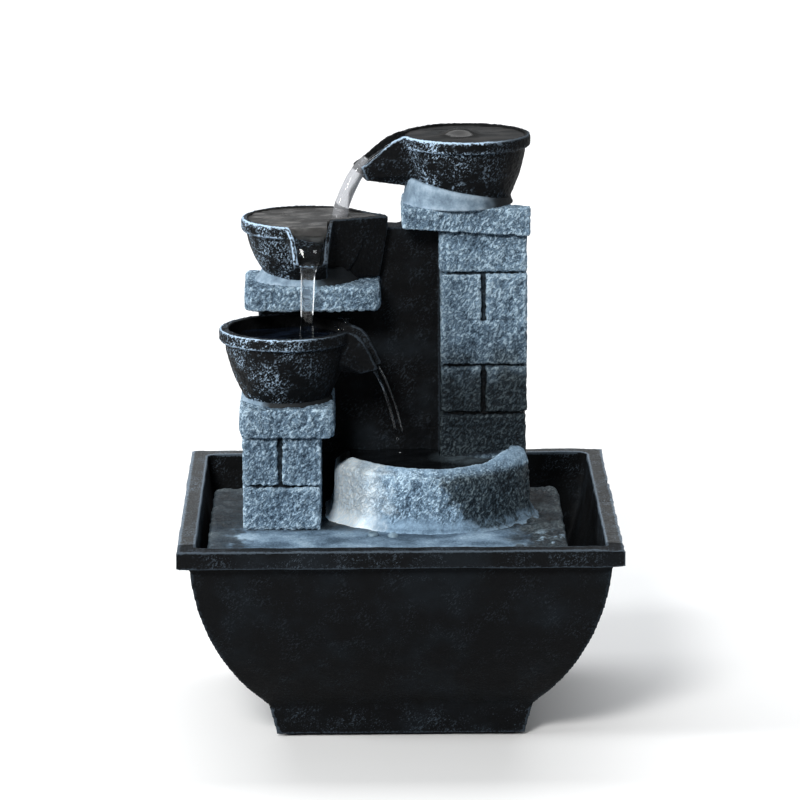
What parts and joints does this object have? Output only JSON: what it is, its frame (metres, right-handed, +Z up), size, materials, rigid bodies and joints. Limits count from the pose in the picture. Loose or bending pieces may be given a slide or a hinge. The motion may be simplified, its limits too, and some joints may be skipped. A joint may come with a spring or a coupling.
{
  "type": "tabletop water fountain",
  "caption": "Tabletop water fountain: square black basin with a lift-out stone-look insert of spouted cups on brick columns above a half-round trough, fed by a small submersible pump.",
  "frame": {"origin": "centre of the foot pad's underside, on the table", "axes": "+Z up, -Y towards the viewer (the trough side), +X to the right of the viewer"},
  "size_m": [0.18, 0.18, 0.2384],
  "materials": {
    "black_resin": "satin",
    "stone_resin": "matte",
    "mortar_resin": "matte",
    "foam_pad": "matte",
    "clear_vinyl": "satin",
    "pump_plastic": "satin",
    "potting_resin": "gloss",
    "core_steel": "satin",
    "copper_coil": "satin",
    "magnet_ferrite": "matte",
    "shaft_steel": "polished",
    "rubber": "matte",
    "slider_plastic": "satin",
    "water": "gloss"
  },
  "bodies": {
    "basin": {"basin": "black_resin", "base_pad": "foam_pad", "pump_housing": "pump_plastic", "pump_potting": "potting_resin", "pump_stator_core": "core_steel", "pump_coil": "copper_coil", "pump_volute": "pump_plastic", "pump_shaft": "shaft_steel", "pump_shaft_bushes": "rubber", "pump_suction_cups": "rubber", "pump_cord_gland": "rubber"},
    "insert": {"deck": "stone_resin", "trough_wall": "stone_resin", "back_wall": "black_resin", "left_column": "stone_resin", "left_capstone": "stone_resin", "lower_cup_collar": "mortar_resin", "lower_cup": "black_resin", "shelf_slab": "stone_resin", "middle_cup_collar": "mortar_resin", "middle_cup": "black_resin", "right_column": "stone_resin", "right_capstone": "stone_resin", "top_cup_collar": "mortar_resin", "top_cup": "black_resin", "riser_tube": "clear_vinyl"},
    "impeller": {"pump_impeller": "magnet_ferrite"},
    "strainer": {"pump_strainer": "pump_plastic"},
    "flow_slider": {"pump_flow_slider": "slider_plastic"}
  },
  "joints": [
    {"name": "insert_lift", "type": "slide", "parent": "basin", "child": "insert", "axis": [0, 0, 1], "range_m": [0, 0.085]},
    {"name": "impeller_spin", "type": "hinge", "parent": "basin", "child": "impeller", "pos_m": [0.027, 0.02, 0.0335], "axis": [0, 1, 0], "continuous": true},
    {"name": "strainer_pull", "type": "slide", "parent": "basin", "child": "strainer", "axis": [0, 1, 0], "range_m": [0, 0.004]},
    {"name": "flow_slide", "type": "slide", "parent": "strainer", "child": "flow_slider", "axis": [-1, 0, 0], "range_m": [0, 0.008]}
  ]
}
